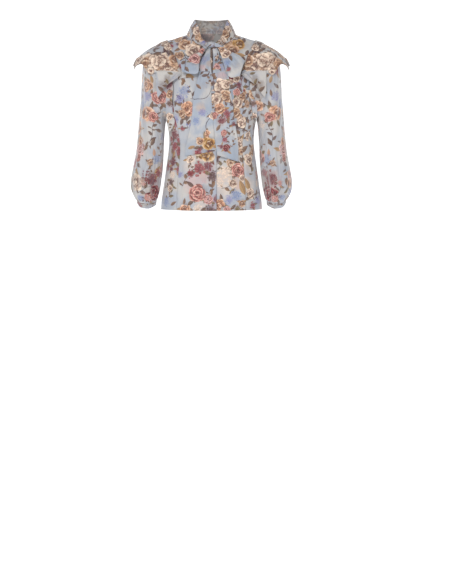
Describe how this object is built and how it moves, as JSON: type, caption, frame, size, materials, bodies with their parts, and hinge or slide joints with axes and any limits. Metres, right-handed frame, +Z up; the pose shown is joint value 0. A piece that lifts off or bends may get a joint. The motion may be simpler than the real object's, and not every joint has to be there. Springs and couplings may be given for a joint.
{
  "type": "blouse with shoulder flounces and a tied neck bow, as worn",
  "caption": "Sheer floral blouse with pointed shoulder flounces, puffed three-quarter sleeves, a tied pussy bow and princess seams, in its worn shape.",
  "frame": {"origin": "middle of the neck at shoulder height, where the wearer's shoulders hold the garment", "axes": "+Z up; the front faces -Y; +X is the wearer's left"},
  "size_m": [0.5428, 0.2486, 0.6425],
  "materials": {
    "body_cloth": "sheer printed georgette, soft and matt",
    "sleeve_cloth": "sheer printed georgette, soft and matt",
    "flounce_cloth": "sheer printed georgette, soft and matt",
    "bow_cloth": "sheer printed georgette, soft and matt"
  },
  "bodies": {
    "root": {"back": "body_cloth", "front_right": "body_cloth", "front_left": "body_cloth", "side_front_right": "body_cloth", "side_front_left": "body_cloth", "sleeve_right": "sleeve_cloth", "sleeve_left": "sleeve_cloth", "cuff_right": "sleeve_cloth", "cuff_left": "sleeve_cloth", "flounce_right": "flounce_cloth", "flounce_left": "flounce_cloth", "frill_right": "flounce_cloth", "frill_left": "flounce_cloth", "collar": "flounce_cloth", "knot": "bow_cloth", "knot_fold": "bow_cloth", "loop_right": "bow_cloth", "loop_left": "bow_cloth", "loop_under": "bow_cloth", "tail_right": "bow_cloth", "tail_left": "bow_cloth"}
  },
  "joints": []
}
